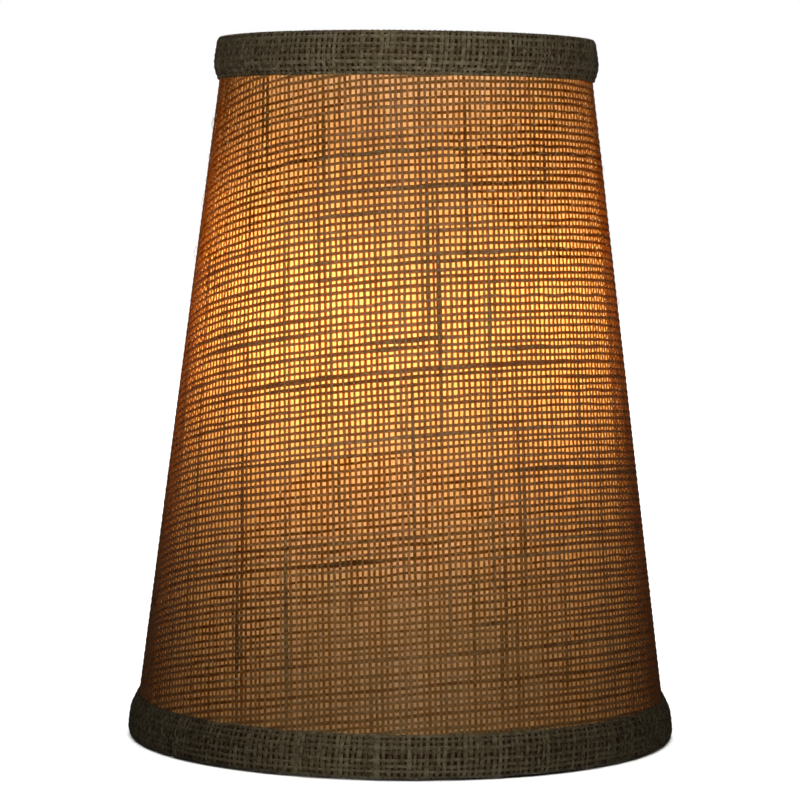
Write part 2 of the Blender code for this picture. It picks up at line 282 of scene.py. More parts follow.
class Cone:
    """The burlap's outer surface, and the flat cloth that wraps it.

    In the flat the cone's apex is at (0, 0) and the shade lies below it, with X = 0 on the grain's
    azimuth."""

    def __init__(self):
        points = node_points("burlap_cover")
        radius = np.hypot(points[:, 0], points[:, 1])
        self.low = points[:, 2].min()
        self.high = points[:, 2].max()
        self.low_radius = radius[points[:, 2] < self.low + TOUCH].max()
        high_radius = radius[points[:, 2] > self.high - TOUCH].max()
        self.slope = (self.low_radius - high_radius) / (self.high - self.low)
        self.half_angle = math.atan(self.slope)

    def radius(self, z):
        return self.low_radius - self.slope * (z - self.low)

    def reach(self, z):
        """Distance from the apex, along the slant, to height z."""
        return self.radius(z) / math.sin(self.half_angle)

    def flatten(self, azimuth, z):
        """Where in the flat a place on the cone lies."""
        turn = (azimuth - GRAIN_AZIMUTH) * math.sin(self.half_angle)
        return self.reach(z) * np.sin(turn), -self.reach(z) * np.cos(turn)

    def unfold(self, x, y):
        """Azimuth, radius and turn in the flat of a place on the cloth."""
        turn = np.arctan2(x, -y)
        azimuth = GRAIN_AZIMUTH + turn / math.sin(self.half_angle)
        return azimuth, np.hypot(x, y) * math.sin(self.half_angle), turn

    def wrap(self, azimuth, radius, turn, lift):
        """Points on the cone, and the directions of the cloth's X, its Y and outwards."""
        sine, cosine = math.sin(self.half_angle), math.cos(self.half_angle)
        east = np.sin(azimuth)
        south = -np.cos(azimuth)
        flat = np.zeros_like(azimuth)
        z = self.low + (self.low_radius - radius) / self.slope
        down = np.stack([sine * east, sine * south, flat - cosine], -1)
        around = np.stack([-south, east, flat], -1)
        out = np.stack([cosine * east, cosine * south, flat + sine], -1)
        along_x = np.sin(turn)[..., None] * down + np.cos(turn)[..., None] * around
        along_y = -np.cos(turn)[..., None] * down + np.sin(turn)[..., None] * around
        points = np.stack([radius * east, radius * south, z], -1) + out * lift[..., None]
        return points, along_x, along_y, out


def smoothstep(low, high, value):
    share = np.clip((value - low) / (high - low), 0, 1)
    return share * share * (3 - 2 * share)


def mesh_object(name, vertices, faces, material):
    """A smooth mesh of faces that all have the same number of corners."""
    mesh = bpy.data.meshes.new(name)
    mesh.vertices.add(len(vertices))
    mesh.vertices.foreach_set("co", np.asarray(vertices, dtype=np.float32).ravel())
    mesh.loops.add(faces.size)
    mesh.loops.foreach_set("vertex_index", faces.astype(np.int32).ravel())
    mesh.polygons.add(len(faces))
    mesh.polygons.foreach_set("loop_start", np.arange(0, faces.size, faces.shape[1], dtype=np.int32))
    mesh.update(calc_edges=True)
    mesh.validate()
    mesh.polygons.foreach_set("use_smooth", np.full(len(faces), True))
    obj = bpy.data.objects.new(name, mesh)
    bpy.context.scene.collection.objects.link(obj)
    mesh.materials.append(material)
    return obj


# ---------------------------------------------------------------- yarns


class Yarns:
    """Collects the strips that yarns are made of, and turns them into one mesh."""

    def __init__(self):
        self.vertices, self.faces, self.places, self.tones, self.edges = [], [], [], [], []
        self.count = 0

    def add(self, center, directions, half_width, thickness, tone, used, section,
            loose=(0.0, 1.0), solid=0.0):
        """One strip for each row of points. directions are across the yarn and outwards, and used
        says which stretches between points are kept. loose is how open the yarn is at its middle
        and at its sides, and solid takes that away."""
        across, out = directions
        side = np.array([s for s, _ in section])
        rise = np.array([r for _, r in section])
        sideways = (half_width[..., None] * side)[..., None] * across[..., None, :]
        outwards = (thickness[..., None] * rise)[..., None] * out[..., None, :]
        vertices = center[..., None, :] + sideways + outwards
        step = np.linalg.norm(np.diff(center, axis=1), axis=-1)
        run = np.concatenate([np.zeros((len(center), 1)), np.cumsum(step, axis=1)], axis=1)
        run = run + np.arange(len(center))[:, None] * FIBRE_SHIFT
        place = np.stack(np.broadcast_arrays(run[..., None], side * half_width[..., None]), -1)
        index = np.arange(vertices[..., 0].size).reshape(vertices.shape[:-1])
        quads = np.stack(
            [index[:, :-1, :-1], index[:, :-1, 1:], index[:, 1:, 1:], index[:, 1:, :-1]], -1
        )[used].reshape(-1, 4)
        kept, quads = np.unique(quads, return_inverse=True)
        open_share = loose[0] + (loose[1] - loose[0]) * np.abs(side)
        open_share = open_share * (1 - np.asarray(solid)[..., None])
        self.vertices.append(vertices.reshape(-1, 3)[kept])
        self.places.append(place.reshape(-1, 2)[kept] / MM)
        self.tones.append(np.broadcast_to(tone[..., None], index.shape).reshape(-1)[kept])
        self.edges.append(np.broadcast_to(open_share, index.shape).reshape(-1)[kept])
        self.faces.append(quads.reshape(-1, 4) + self.count)
        self.count += len(kept)

    def object(self, name, material):
        obj = mesh_object(name, np.concatenate(self.vertices), np.concatenate(self.faces), material)
        for name, values in (("tone", self.tones), ("edge", self.edges)):
            attribute = obj.data.attributes.new(name, "FLOAT", "POINT")
            attribute.data.foreach_set("value", np.concatenate(values).astype(np.float32))
        corners = np.concatenate(self.faces).reshape(-1)
        places = np.concatenate(self.places)[corners].astype(np.float32)
        layer = obj.data.uv_layers.new(name="yarn")
        layer.uv.foreach_set("vector", places.ravel())
        return obj


def waves(rng, count, position, lengths, height):
    """A smooth random shift along each of count yarns, at the given positions along them."""
    total = np.zeros(np.broadcast_shapes((count, 1), position.shape))
    for length in lengths:
        phase = rng.uniform(0, FULL_TURN, (count, 1))
        size = rng.normal(0, height / math.sqrt(len(lengths)), (count, 1))
        total += size * np.sin(FULL_TURN * position / length + phase)
    return total


def uneven_size(rng, count, position, spread, lengths, height):
    return rng.lognormal(0, spread, (count, 1)) * (1 + waves(rng, count, position, lengths, height))


def uneven_tone(rng, count, position, spread, lengths, height):
    tone = MIDDLE_TONE + rng.normal(0, spread, (count, 1))
    return tone + waves(rng, count, position, lengths, height)


def slubs(rng, cone, x, y, warp_x, weft_y):
    """How much each yarn swells at each crossing: where it was spun thick, here and there, and at
    the places that are listed."""
    warp_swell = np.zeros(x.shape)
    weft_swell = np.zeros(x.shape)

    def swell(along_warp, yarn, middle, half_length, size):
        if along_warp:
            warp_swell[yarn] += size * np.exp(-((y[yarn] - middle) / half_length) ** 2)
        else:
            weft_swell[:, yarn] += size * np.exp(-((x[:, yarn] - middle) / half_length) ** 2)

    random_slubs = (
        (True, WARP_SLUBS, weft_y, len(warp_x), WARP_SLUB_LENGTHS, WARP_SLUB_SIZES),
        (False, WEFT_SLUBS, warp_x, len(weft_y), WEFT_SLUB_LENGTHS, WEFT_SLUB_SIZES),
    )
    for along_warp, count, line, yarns, lengths, sizes in random_slubs:
        for _ in range(count):
            middle = rng.uniform(line[0], line[-1])
            yarn = rng.integers(yarns)
            half_length = rng.uniform(*lengths) * MM
            swell(along_warp, yarn, middle, half_length, rng.uniform(*sizes))
    for family, azimuth, z, half_length, size in CHOSEN_SLUBS:
        flat_x, flat_y = cone.flatten(math.radians(azimuth), z * MM)
        warp, weft = np.unravel_index(np.argmin(np.hypot(x - flat_x, y - flat_y)), x.shape)
        if family == "warp":
            swell(True, warp, flat_y, half_length * MM, size)
        else:
            swell(False, weft, flat_x, half_length * MM, size)
    return warp_swell, weft_swell


def lay_yarns(rng, cone):
    """Where the warps and wefts cross in the flat, as x and y for each warp and weft, and the lines
    that they would keep without straying."""
    low_reach = cone.reach(cone.low)
    half_turn = (math.pi + abs(GRAIN_AZIMUTH)) * math.sin(cone.half_angle)
    half_span = low_reach * math.sin(half_turn) + 4 * SEAM_HALF_WIDTH
    warps = int(2 * half_span / WARP_PITCH)
    warp_x = np.cumsum(WARP_PITCH * (1 + WARP_PITCH_JITTER * rng.standard_normal(warps)))
    warp_x -= warp_x[warps // 2]

    bottom_y = -low_reach - half_span * math.tan(WEFT_SKEW) - WEFT_PITCH_LOW
    top_y = -cone.reach(cone.high) * math.cos(half_turn) + half_span * math.tan(WEFT_SKEW)
    middle_y = -cone.reach((cone.low + cone.high) / 2)
    weft_y = [bottom_y]
    while weft_y[-1] < top_y:
        share = smoothstep(middle_y - WEFT_PITCH_CHANGE, middle_y + WEFT_PITCH_CHANGE, weft_y[-1])
        pitch = WEFT_PITCH_LOW + (WEFT_PITCH_HIGH - WEFT_PITCH_LOW) * share
        weft_y.append(weft_y[-1] + pitch * (1 + WEFT_PITCH_JITTER * rng.standard_normal()))
    weft_y = np.array(weft_y)

    x = warp_x[:, None] + waves(rng, warps, weft_y[None, :], *WARP_STRAY)
    y = weft_y[None, :] + x * math.tan(WEFT_SKEW)
    y = y + waves(rng, len(weft_y), warp_x[None, :], *WEFT_STRAY).T
    along, bend, across = DRIFT_LENGTHS
    drift = DRIFT * np.sin(x / along + 1.3 * np.sin(y / bend)) * np.sin(y / across + 0.7)
    return x, y + drift, warp_x, weft_y


def add_family(yarns, cone, grids, above, looks, shape, is_weft):
    """The warps or the wefts, one for each row of the grids. above is 1 where a yarn passes over
    and -1 where it passes under."""
    azimuth, radius, turn, lap, inside = grids
    size, tone, swell = looks
    half_width, thickness, crimp, depth, loose = shape
    points, along_x, along_y, out = cone.wrap(azimuth, radius, turn, lap + crimp * above - depth)
    across = -along_y if is_weft else along_x
    size = size * (1 + swell)
    # slubs darker by their own colour; painted highlight where the yarn passes over, painted shade where
    # it dives
    tone = tone - SLUB_DARK * swell + PAINTED_CREST_SHADING * above
    used = inside[:, :-1] & inside[:, 1:]
    solid = np.clip(SLUB_SOLID * swell, 0, SLUB_SOLID_MOST)
    yarns.add(
        points, (across, out), half_width * size, thickness * size**0.5, tone, used, ROOF, loose, solid
    )


def burlap(cone, material):
    """The whole cover, as warp and weft yarns that pass over and under each other."""
    rng = np.random.default_rng(BURLAP_SEED)
    x, y, warp_x, weft_y = lay_yarns(rng, cone)
    warps, wefts = x.shape
    azimuth, radius, turn = cone.unfold(x, y)
    z = cone.low + (cone.low_radius - radius) / cone.slope

    # the seam: one edge laps over the other and is turned under
    past = (azimuth - math.pi) * radius
    before = (-azimuth - math.pi) * radius
    inside = (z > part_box("bottom_trim")[1][2] - TUCK) & (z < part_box("top_trim")[0][2] + TUCK)
    inside &= (past < SEAM_HALF_WIDTH + SEAM_TURN) & (before < SEAM_HALF_WIDTH)
    folded = past > SEAM_HALF_WIDTH
    lap = np.where(folded, SEAM_TURN_LIFT, SEAM_LIFT)
    lap = lap * smoothstep(-SEAM_HALF_WIDTH - SEAM_RAMP, -SEAM_HALF_WIDTH, past)
    azimuth = np.where(folded, azimuth - 2 * (past - SEAM_HALF_WIDTH) / radius, azimuth)

    over = np.where((np.add.outer(np.arange(warps), np.arange(wefts)) % 2) == 0, 1.0, -1.0)
    warp_size = uneven_size(rng, warps, weft_y[None, :], *WARP_SIZE)
    weft_size = uneven_size(rng, wefts, warp_x[None, :], *WEFT_SIZE)
    warp_tone = uneven_tone(rng, warps, weft_y[None, :], *WARP_TONE)
    weft_tone = uneven_tone(rng, wefts, warp_x[None, :], *WEFT_TONE)
    warp_swell, weft_swell = slubs(rng, cone, x, y, warp_x, weft_y)

    yarns = Yarns()
    grids = (azimuth, radius, turn, lap, inside)
    shape = (WARP_HALF_WIDTH, WARP_THICKNESS, WARP_CRIMP, WARP_DEPTH, WARP_LOOSE)
    add_family(yarns, cone, grids, over, (warp_size, warp_tone, warp_swell), shape, is_weft=False)
    grids = [grid.T for grid in grids]
    shape = (WEFT_HALF_WIDTH, WEFT_THICKNESS, WEFT_CRIMP, WEFT_DEPTH, WEFT_LOOSE)
    add_family(yarns, cone, grids, -over.T, (weft_size, weft_tone, weft_swell.T), shape, is_weft=True)
    return yarns.object("burlap_weave", material)


def stray_fibres(cone, material):
    """Loose ends of fibre that curl up from the burlap, and a few dark knots of them."""
    rng = np.random.default_rng(STRAY_SEED)
    knots = np.array([(math.radians(azimuth), z * MM) for azimuth, z in KNOTS])
    azimuth = rng.uniform(-math.pi, math.pi, STRAYS)
    z = cone.low + (cone.high - cone.low) * rng.uniform(*STRAY_BAND, STRAYS)
    azimuth = np.concatenate([azimuth, np.repeat(knots[:, 0], KNOT_FIBRES)])
    z = np.concatenate([z, np.repeat(knots[:, 1], KNOT_FIBRES)])
    count = len(z)
    single = np.arange(count) < STRAYS
    scatter = np.where(single, 0.0, KNOT_SCATTER)
    azimuth = azimuth + rng.normal(0, 1, count) * scatter / cone.radius(z)
    z = z + rng.normal(0, 1, count) * scatter
    single_length = rng.uniform(*STRAY_LENGTHS, count)
    length = np.where(single, single_length, rng.uniform(*KNOT_LENGTHS, count)) * MM
    heading = rng.uniform(0, FULL_TURN, count)
    curl = rng.normal(0, STRAY_CURL, count)
    rise = rng.uniform(*STRAY_RISES, count) * MM

    share = np.linspace(0, 1, STRAY_POINTS)[None, :]
    angle = heading[:, None] + curl[:, None] * share
    step = length[:, None] / STRAY_POINTS
    azimuth = azimuth[:, None] + np.cumsum(np.cos(angle) * step, axis=1) / cone.radius(z)[:, None]
    z = z[:, None] + np.cumsum(np.sin(angle) * step, axis=1)
    lift = rise[:, None] * np.sin(math.pi * share)
    points, along_x, along_y, out = cone.wrap(azimuth, cone.radius(z), np.zeros_like(azimuth), lift)
    across = -np.sin(angle)[..., None] * along_x + np.cos(angle)[..., None] * along_y
    half_width = STRAY_HALF_WIDTH * (1 - STRAY_TAPER * share) * np.ones((count, 1))
    tone = np.where(single, rng.uniform(*STRAY_TONES, count), 0.0)[:, None] * np.ones_like(share)
    used = np.ones((count, STRAY_POINTS - 1), dtype=bool)
    yarns = Yarns()
    yarns.add(points, (-across, out), half_width, half_width, tone, used, ROOF)
    fibres = yarns.object("stray_fibres", material)
    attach(fibres, "shade")
    return fibres


# ---------------------------------------------------------------- trims


def smooth_line(corners, per_corner=8):
    """A curve through the corners, as points, where a polyline would turn sharply."""
    corners = np.array([2 * corners[0] - corners[1], *corners, 2 * corners[-1] - corners[-2]])
    line = []
    for a, b, c, d in zip(corners, corners[1:], corners[2:], corners[3:]):
        for t in np.arange(per_corner) / per_corner:
            square = (2 * a - 5 * b + 4 * c - d) * t**2
            cube = (3 * b - a - 3 * c + d) * t**3
            line.append(0.5 * (2 * b + (c - a) * t + square + cube))
    return np.array([*line, corners[-2]])


def fold_outline(cone, node, ring, squareness, clearance):
    """The tape's path over its rim as (radius, z) points: from the outer edge, over the rim, to
    the inner edge. It lies TRIM_DEPTH inside the CAD trim's outer surface. squareness is how
    far the fold's outer corner fills out, and clearance how much more room it leaves at the rim."""
    low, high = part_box(node)
    ring_low, ring_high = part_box(ring)
    ring_middle = (ring_low[2] + ring_high[2]) / 2
    up = 1 if ring_middle - low[2] < high[2] - ring_middle else -1
    rim = low[2] if up > 0 else high[2]
    height = high[2] - low[2]
    points = node_points(node)
    proud = (np.hypot(points[:, 0], points[:, 1]) - cone.radius(points[:, 2])).max()
    ring_inner = ring_high[0] - (ring_high[2] - ring_low[2])

    def outer(share_up, share_out):
        """A point on the outer face, at shares of the trim's height and of how proud it stands."""
        z = rim + up * share_up * height
        return np.array([cone.radius(z) + max(share_out * proud - TRIM_DEPTH, TRIM_EDGE_LIFT), z])

    def inner(share_up, depth):
        """A point on the inner face, at a share of that face's height, towards the axis by depth."""
        z = rim + up * share_up * TRIM_INNER_HEIGHT
        return np.array([ring_inner - depth - cone.slope * (z - ring_middle), z])

    corners = [
        outer(0.975, 0.2),
        outer(0.90, 0.45),
        outer(0.80, 0.72),
        outer(0.60, 1.0),
        outer(0.28, 0.99),
        outer(0.12, 0.85 + 0.08 * squareness),
        outer(0.04 + clearance / height, 0.45 + 0.27 * squareness),
        inner(0.04 + clearance / TRIM_INNER_HEIGHT, 0.1 * MM),
        inner(0.25, TRIM_INNER_DEPTH),
        inner(1.0, TRIM_INNER_DEPTH),
    ]
    return smooth_line(corners), up


class Tape:
    """The trim's tape, folded over its rim. A place on it is an azimuth and a run along the fold's
    outline, from the tape's outer edge."""

    def __init__(self, cone, node, ring, squareness, clearance, seed):
        self.rng = np.random.default_rng(seed)
        self.line, self.up = fold_outline(cone, node, ring, squareness, clearance)
        step = np.linalg.norm(np.diff(self.line, axis=0), axis=1)
        self.run = np.concatenate([[0], np.cumsum(step)])
        self.tangent = np.gradient(self.line, self.run, axis=0)
        self.tangent /= np.linalg.norm(self.tangent, axis=1)[:, None]
        self.normal = np.stack([-self.up * self.tangent[:, 1], self.up * self.tangent[:, 0]], -1)
        self.rim_radius = self.line[len(self.line) // 3, 0]  # on the trim's outer face
        self.width = self.run[-1]
        self.length = FULL_TURN * self.rim_radius + TRIM_LAP

        self.rows = int(self.width / TRIM_PITCH) + 1
        self.row_run = np.linspace(0, self.width, self.rows)
        self.row_run[1:-1] += self.rng.normal(0, TRIM_ROW_JITTER * TRIM_PITCH, self.rows - 2)
        self.columns = int(self.length / TRIM_PITCH) + 1
        jitter = TRIM_COLUMN_JITTER * self.rng.standard_normal(self.columns)
        around = np.cumsum(TRIM_PITCH * (1 + jitter))[::-1]
        self.column_azimuth = math.pi - around / self.rim_radius
        self.column_azimuth += math.pi - self.column_azimuth[-1]

    def lay(self, azimuth, place, lift):
        """Points on the tape, and its directions around the rim, along the outline and outwards."""
        radius = np.interp(place, self.run, self.line[:, 0])
        z = np.interp(place, self.run, self.line[:, 1])
        tangent_r, tangent_z = (np.interp(place, self.run, self.tangent[:, k]) for k in (0, 1))
        normal_r, normal_z = (np.interp(place, self.run, self.normal[:, k]) for k in (0, 1))
        lean = TRIM_SKEW * (1 + TRIM_SKEW_CHANGE * np.sin(2 * azimuth - 0.9))
        azimuth = azimuth + self.up * (self.width / 3 - place) * np.tan(lean) / self.rim_radius
        past = (azimuth + math.pi) * self.rim_radius
        lift = lift + TRIM_LAP_LIFT * smoothstep(TRIM_LAP_RAMP, -TRIM_LAP_RAMP, past)
        east, south = np.sin(azimuth), -np.cos(azimuth)
        radius = radius + lift * normal_r
        points = np.stack([radius * east, radius * south, z + lift * normal_z], -1)
        around = np.stack([-south, east, np.zeros_like(east)], -1)
        along = np.stack([tangent_r * east, tangent_r * south, tangent_z], -1)
        out = np.stack([normal_r * east, normal_r * south, normal_z], -1)
        return points, around, along, out

    def crimp(self, count, crossed, first):
        """How far count yarns rise and fall as they cross the others. first is 1 or -1: whether
        the first yarn starts over or under."""
        parity = np.where(np.arange(count) % 2 == 0, first, -first)[:, None]
        return TRIM_CRIMP * parity * np.cos(math.pi * crossed)[None, :]

    def add_columns(self, yarns):
        crossed = np.arange((self.rows - 1) * TRIM_FINE + 1) / TRIM_FINE
        place = np.interp(crossed, np.arange(self.rows), self.row_run)
        stray = waves(self.rng, self.columns, place[None, :], *COLUMN_STRAY)
        azimuth = self.column_azimuth[:, None] + stray / self.rim_radius
        place = np.broadcast_to(place[None, :], azimuth.shape)
        crimp = self.crimp(self.columns, crossed, 1.0)
        points, around, along, out = self.lay(azimuth, place, crimp)
        size = uneven_size(self.rng, self.columns, place, *COLUMN_SIZE)
        tone = uneven_tone(self.rng, self.columns, place, *COLUMN_TONE)
        # painted highlight where the yarn passes over, painted shade where it dives
        tone = tone + PAINTED_CREST_SHADING * crimp / TRIM_CRIMP
        used = np.ones((self.columns, len(crossed) - 1), dtype=bool)
        yarns.add(
            points, (around * self.up, out), TRIM_COLUMN_HALF_WIDTH * size,
            TRIM_YARN * np.ones_like(size), tone, used, ROUND,
        )

    def add_rows(self, yarns):
        crossed = np.arange((self.columns - 1) * TRIM_FINE + 1) / TRIM_FINE
        azimuth = np.interp(crossed, np.arange(self.columns), self.column_azimuth)
        stray = waves(self.rng, self.rows, azimuth[None, :] * self.rim_radius, *ROW_STRAY)
        place = np.clip(self.row_run[:, None] + stray, 0, self.width)
        azimuth = np.broadcast_to(azimuth[None, :], place.shape)
        crimp = self.crimp(self.rows, crossed, -1.0)
        points, around, along, out = self.lay(azimuth, place, crimp)
        size = uneven_size(self.rng, self.rows, azimuth * self.rim_radius, *ROW_SIZE)
        tone = uneven_tone(self.rng, self.rows, azimuth * self.rim_radius, *ROW_TONE)
        # painted highlight where the yarn passes over, painted shade where it dives
        tone = tone + PAINTED_CREST_SHADING * crimp / TRIM_CRIMP
        used = np.ones((self.rows, len(crossed) - 1), dtype=bool)
        yarns.add(
            points, (-along * self.up, out), TRIM_ROW_HALF_WIDTH * size,
            TRIM_YARN * np.ones_like(size), tone, used, ROUND,
        )

    def backing(self, name, material):
        """The cloth's underside, which closes the gaps of the tape's weave."""
        azimuth = np.linspace(-math.pi, math.pi, SMOOTH_TURNS + 1)[:, None]
        azimuth, place = np.broadcast_arrays(azimuth, self.run[None, :])
        points = self.lay(azimuth, place, np.full(azimuth.shape, -TRIM_BACKING))[0][:-1]
        index = np.arange(points[..., 0].size).reshape(points.shape[:2])
        after = np.roll(index, -1, axis=0)
        quads = np.stack([index[:, :-1], after[:, :-1], after[:, 1:], index[:, 1:]], -1)
        return mesh_object(name, points.reshape(-1, 3), quads.reshape(-1, 4), material)


def woven_trim(tape, node, material, backing):
    """A trim, as its tape's weave and the backing under it. It stands for the CAD node."""
    yarns = Yarns()
    tape.add_columns(yarns)
    tape.add_rows(yarns)
    weave = yarns.object(f"{node}_weave", material)
    band = tape.backing(f"{node}_backing", backing)
    for piece in (weave, band):
        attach(piece, "shade")
    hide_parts(node)
    return weave


# ---------------------------------------------------------------- liner and wires


def liner(cone, material):
    """The styrene sheet, as one surface where the CAD liner's middle is."""
    low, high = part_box("styrene_liner")
    inset = cone.radius(low[2]) - high[0]
    z = np.linspace(low[2], high[2], LINER_LEVELS + 1)[:, None]
    azimuth = np.linspace(0, FULL_TURN, SMOOTH_TURNS, endpoint=False)[None, :]
    z, azimuth = np.broadcast_arrays(z, azimuth)
    radius = cone.radius(z) - inset - LINER_THICKNESS / 2
    points = np.stack([radius * np.sin(azimuth), -radius * np.cos(azimuth), z], -1)
    index = np.arange(points[..., 0].size).reshape(points.shape[:2])
    after = np.roll(index, -1, axis=1)
    quads = np.stack([index[:-1], after[:-1], after[1:], index[1:]], -1).reshape(-1, 4)
    sheet = mesh_object("liner_sheet", points.reshape(-1, 3), quads, material)
    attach(sheet, "shade")
    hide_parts("styrene_liner")
    return sheet


def smooth_copy(node, material, body):
    """A CAD piece with its facets rounded off. It stands for the CAD node."""
    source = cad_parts[node]
    mesh = source.data.copy()
    mesh.name = f"{node}_smooth"
    work = bmesh.new()
    work.from_mesh(mesh)
    bmesh.ops.remove_doubles(work, verts=work.verts, dist=TOUCH)
    bmesh.ops.join_triangles(
        work, faces=work.faces,
        angle_face_threshold=QUAD_FACE_ANGLE, angle_shape_threshold=QUAD_SHAPE_ANGLE,
    )
    work.to_mesh(mesh)
    work.free()
    piece = bpy.data.objects.new(f"{node}_smooth", mesh)
    bpy.context.scene.collection.objects.link(piece)
    mesh.materials.clear()
    mesh.materials.append(material)
    mesh.polygons.foreach_set("use_smooth", np.full(len(mesh.polygons), True))
    subdivide = piece.modifiers.new("smooth", "SUBSURF")
    subdivide.levels = WIRE_LEVELS
    subdivide.render_levels = WIRE_LEVELS
    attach(piece, body)
    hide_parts(node)
    return piece


# ---------------------------------------------------------------- materials


class Finish:
    """A material and its nodes, added one at a time."""

    def __init__(self, name):
        self.material = bpy.data.materials.new(name)
        self.material.use_nodes = True
        self.tree = self.material.node_tree
        self.tree.nodes.clear()

    def node(self, kind, inputs=None, **settings):
        """A node with its settings. An input is a value, or another node's output to link."""
        node = self.tree.nodes.new(f"ShaderNode{kind}")
        for name, value in settings.items():
            setattr(node, name, value)
        for name, value in (inputs or {}).items():
            if isinstance(value, bpy.types.NodeSocket):
                self.tree.links.new(value, node.inputs[name])
            else:
                node.inputs[name].default_value = value
        return node

    def noise(self, scale, detail, **more):
        """Noise fixed to the object, at scale spots a metre."""
        place = self.node("TexCoord").outputs["Object"]
        inputs = {"Vector": place, "Scale": scale, "Detail": detail, **more}
        return self.node("TexNoise", inputs).outputs["Fac"]

    def centered(self, value, size):
        """A value around 0.5, made size times as strong around 0."""
        inputs = {0: value, 1: size, 2: -size / 2}
        return self.node("Math", inputs, operation="MULTIPLY_ADD").outputs[0]

    def ramp(self, factor, stops):
        node = self.node("ValToRGB", {"Fac": factor})
        elements = node.color_ramp.elements
        while len(elements) < len(stops):
            elements.new(0.5)
        for element, (position, color) in zip(elements, stops):
            element.position = position
            element.color = (*color, 1.0)
        return node.outputs["Color"]

    def mixed(self, share, cloth, through):
        """Done: a surface, with a share of light passing through it."""
        mix = self.node("MixShader", {"Fac": share, 1: cloth.outputs[0], 2: through.outputs[0]})
        return self.done(mix.outputs[0])

    def done(self, shader):
        self.node("OutputMaterial", {"Surface": shader})
        return self.material


def yarn_finish(name, dark, middle, light, glow, core_share, edge_share):
    """Spun jute: streaks of fibre along the yarn, and a tone that changes from yarn to yarn, with a
    painted highlight on crests and painted shade where yarns dive, carried in the tone attribute. Light
    passes through its loose edges, edge_share of it, more than through its core."""
    finish = Finish(name)
    tone = finish.node("Attribute", attribute_name="tone").outputs["Fac"]
    place = finish.node("UVMap", uv_map="yarn").outputs["UV"]
    stretched = finish.node("Mapping", {"Vector": place, "Scale": (1.1, 9.0, 1.0)}).outputs["Vector"]
    fibre = finish.node(
        "TexNoise", {"Vector": stretched, "Scale": 1.0, "Detail": 3.0, "Roughness": 0.65}
    ).outputs["Fac"]
    patchy = finish.node("Mapping", {"Vector": place, "Scale": (0.8, 1.6, 1.0)}).outputs["Vector"]
    patch = finish.node("TexNoise", {"Vector": patchy, "Scale": 1.0, "Detail": 1.0}).outputs["Fac"]
    for shift in (finish.centered(fibre, FIBRE_STREAK), finish.centered(patch, FIBRE_MOTTLE)):
        tone = finish.node("Math", {0: tone, 1: shift}, operation="ADD").outputs[0]
    color = finish.ramp(tone, [(0.0, dark), (MIDDLE_TONE, middle), (1.0, light)])
    relief = finish.node("Bump", {"Height": fibre, "Strength": 0.5, "Distance": 0.15 * MM})
    cloth = finish.node(
        "BsdfPrincipled",
        {"Base Color": color, "Roughness": 0.9, "Normal": relief.outputs["Normal"],
         "Sheen Weight": 0.03, "Sheen Roughness": 0.5, "Specular IOR Level": 0.08},
    )
    through = finish.node("BsdfTranslucent", {"Color": (*glow, 1.0)})
    edge = finish.node("Attribute", attribute_name="edge").outputs["Fac"]
    share = finish.node("MapRange", {"Value": edge, "To Min": core_share, "To Max": edge_share})
    return finish.mixed(share.outputs["Result"], cloth, through)


def painted_shade_backing_finish():
    """The trims' cloth underside, coloured near black as painted shade in the gaps of the tape's weave,
    which lets a little red light through.
    """
    finish = Finish("trim_backing")
    noise = finish.noise(260.0, 2.0)
    # near-black colour: painted shade that stands for the shaded layers of tape under the weave
    color = finish.ramp(noise, [(0.3, (0.025, 0.018, 0.011)), (0.7, (0.06, 0.045, 0.028))])
    cloth = finish.node(
        "BsdfPrincipled", {"Base Color": color, "Roughness": 0.95, "Specular IOR Level": 0.1}
    )
    through = finish.node("BsdfTranslucent", {"Color": (0.40, 0.07, 0.02, 1.0)})
    return finish.mixed(0.05, cloth, through)


def liner_finish():
    """Translucent styrene, a little uneven."""
    finish = Finish("styrene")
    noise = finish.noise(420.0, 2.0)
    cream = finish.ramp(noise, [(0.25, (0.62, 0.50, 0.33)), (0.75, (0.90, 0.80, 0.62))])
    through = finish.node("BsdfTranslucent", {"Color": cream})
    cover = finish.node(
        "BsdfPrincipled",
        {"Base Color": (0.36, 0.27, 0.15, 1.0), "Roughness": 0.45, "Specular IOR Level": 0.2},
    )
    return finish.mixed(0.62, cover, through)


def metal_finish(name, dull, bright, roughness):
    """Plain metal, with a fine grain in its colour, gloss and surface."""
    finish = Finish(name)
    noise = finish.noise(900.0, 4.0, Roughness=0.6)
    color = finish.ramp(noise, [(0.35, dull), (0.65, bright)])
    rough = finish.node(
        "MapRange", {"Value": noise, "To Min": roughness - 0.08, "To Max": roughness + 0.12}
    )
    relief = finish.node("Bump", {"Height": noise, "Strength": 0.15, "Distance": 0.05 * MM})
    metal = finish.node(
        "BsdfPrincipled",
        {"Base Color": color, "Roughness": rough.outputs["Result"], "Metallic": 1.0,
         "Normal": relief.outputs["Normal"]},
    )
    return finish.done(metal.outputs[0])


# ---------------------------------------------------------------- studio


def add_light(name, kind, power, color, place, target=None, **settings):
    data = bpy.data.lights.new(name, kind)
    data.energy = power
    data.color = color
    for key, value in settings.items():
        setattr(data, key, value)
    light = bpy.data.objects.new(name, data)
    light.location = place
    if target is not None:
        away = Vector(place) - Vector(target)
        light.rotation_euler = away.to_track_quat("Z", "Y").to_euler()
    bpy.context.scene.collection.objects.link(light)
    return light


